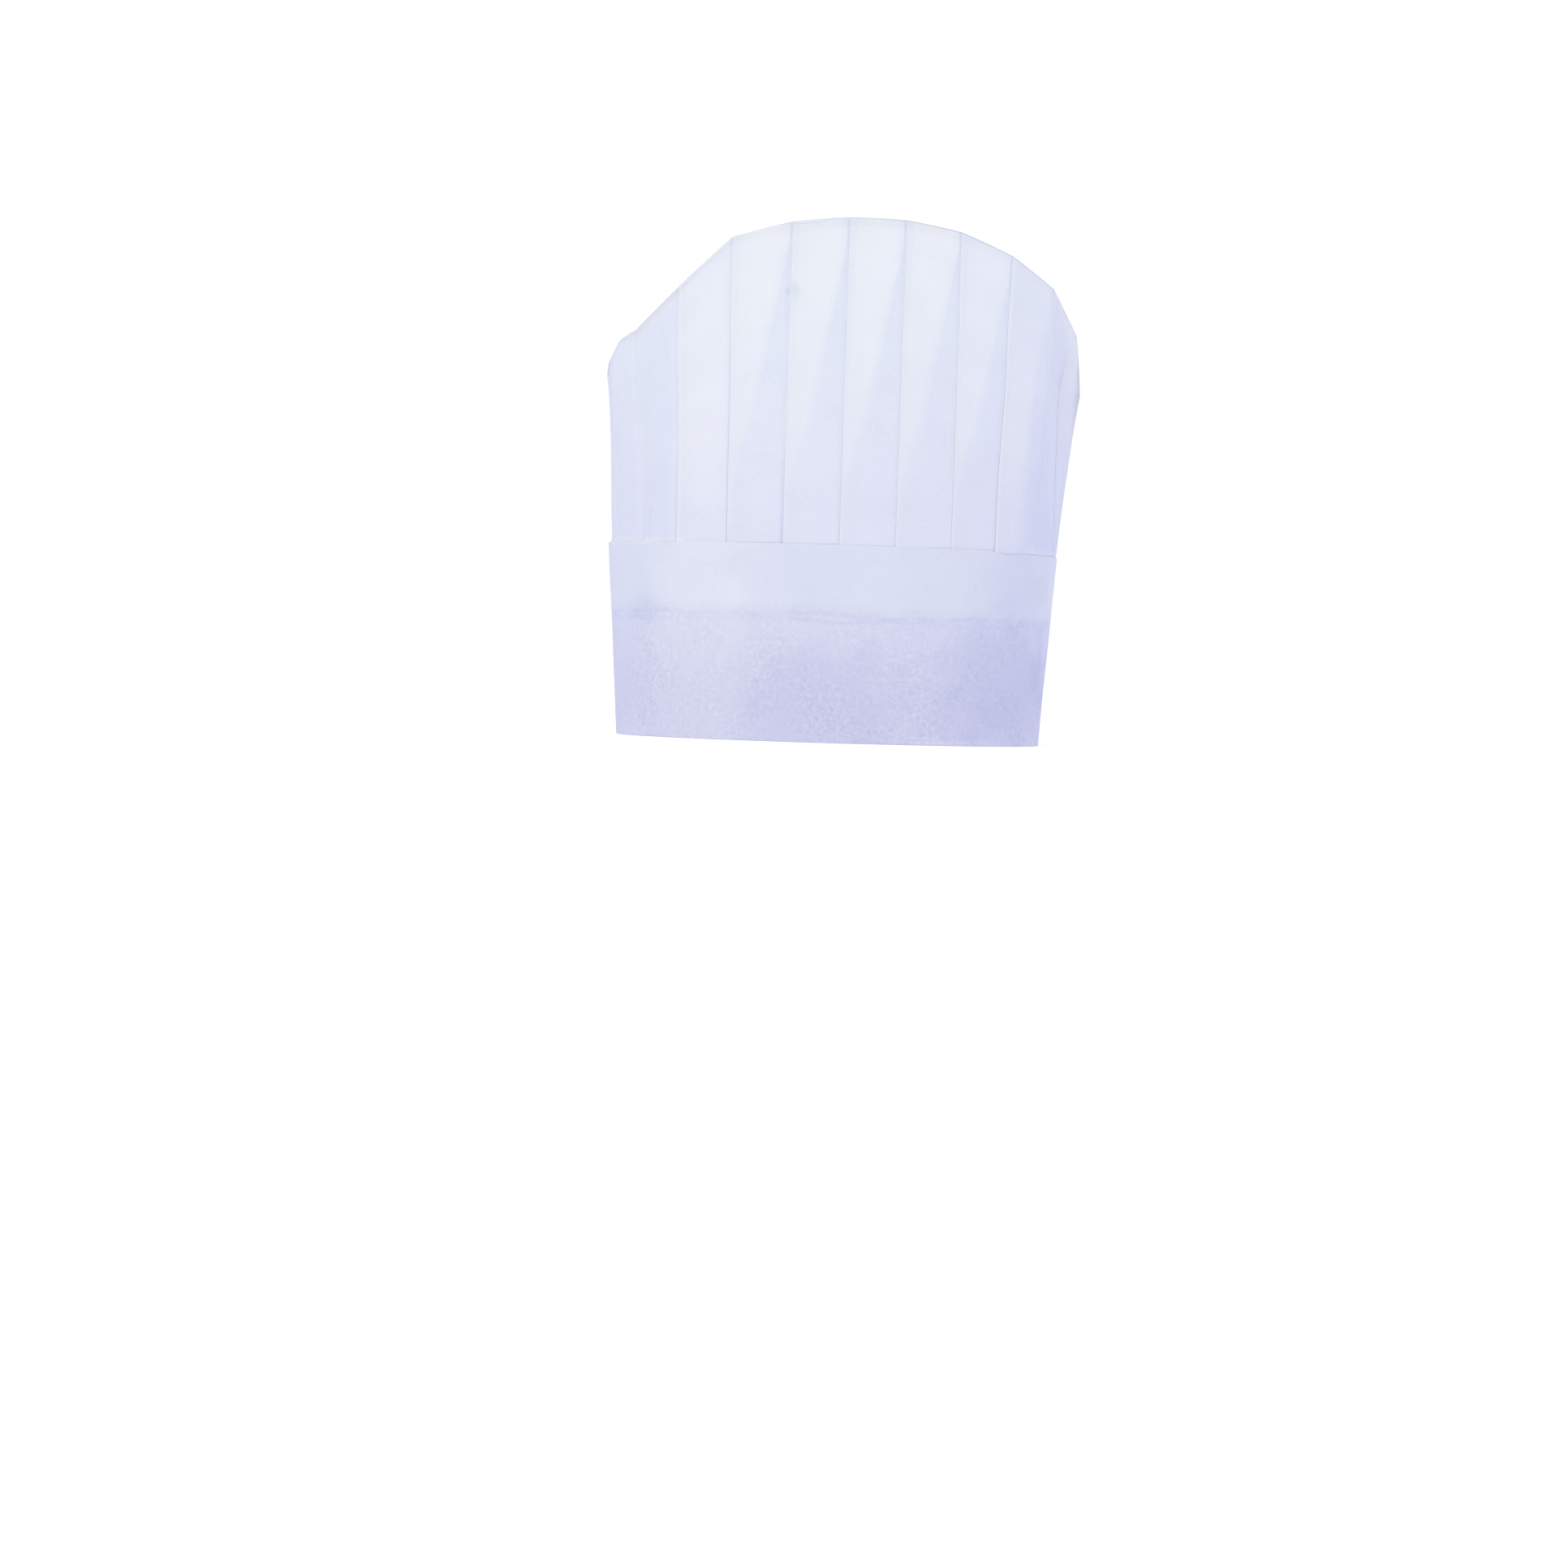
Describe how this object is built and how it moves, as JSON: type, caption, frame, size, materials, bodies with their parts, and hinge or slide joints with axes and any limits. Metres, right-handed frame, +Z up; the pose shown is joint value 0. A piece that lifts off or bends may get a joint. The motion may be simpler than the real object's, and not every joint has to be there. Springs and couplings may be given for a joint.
{
  "type": "chef hat",
  "caption": "Tall arched chef's hat in pleated non-woven cloth: a pleated crown closed by a seam over the top, its hem tucked inside a smooth upright band, open below for the head.",
  "frame": {"origin": "on the surface that the rim stands on, under the middle of the hat's outline; the middle of the rim's oval lies 3 mm behind it", "axes": "+X the way the wearer faces, +Y the wearer's left, +Z up from the rim to the arched seam"},
  "size_m": [0.2303, 0.162, 0.2546],
  "materials": {
    "crown_cloth": "matt non-woven, cool white",
    "band_cloth": "matt non-woven, cool white, one layer and slightly see-through"
  },
  "bodies": {
    "root": {"crown": "crown_cloth", "band": "band_cloth"}
  },
  "joints": []
}
